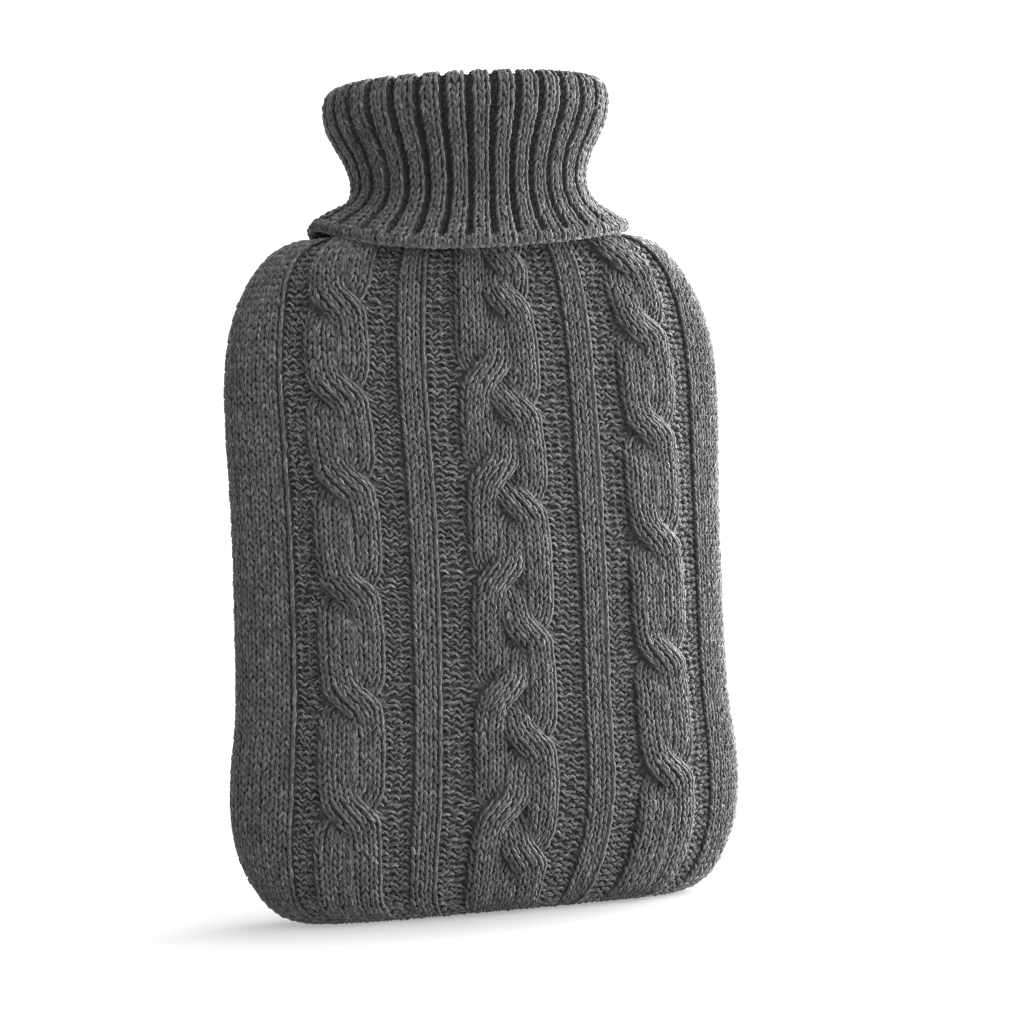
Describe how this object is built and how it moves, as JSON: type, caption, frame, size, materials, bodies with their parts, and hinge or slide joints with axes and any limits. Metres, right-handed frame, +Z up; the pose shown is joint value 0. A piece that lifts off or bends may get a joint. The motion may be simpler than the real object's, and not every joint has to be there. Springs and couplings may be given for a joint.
{
  "type": "hot water bottle cover",
  "caption": "Hollow cable-knit cover of a hot water bottle, upright on a flat base, with a ribbed roll neck turned down over its shoulders.",
  "frame": {"origin": "middle of the flat base, at the centre of the object's footprint box, on the surface that the cover stands on", "axes": "+Z up from the base to the mouth, X across the width with +X to the right seen from the front, -Y out of the cabled front"},
  "size_m": [0.2184, 0.092, 0.3368],
  "materials": {
    "knit_front": "heathered charcoal grey wool yarn, cable knitted, matt and slightly hairy",
    "knit_back": "heathered charcoal grey wool yarn, plain stocking stitch, matt and slightly hairy",
    "knit_neck": "heathered charcoal grey wool yarn, two by two rib, matt and slightly hairy"
  },
  "bodies": {
    "root": {"front_panel": "knit_front", "back_panel": "knit_back", "roll_neck": "knit_neck"}
  },
  "joints": []
}
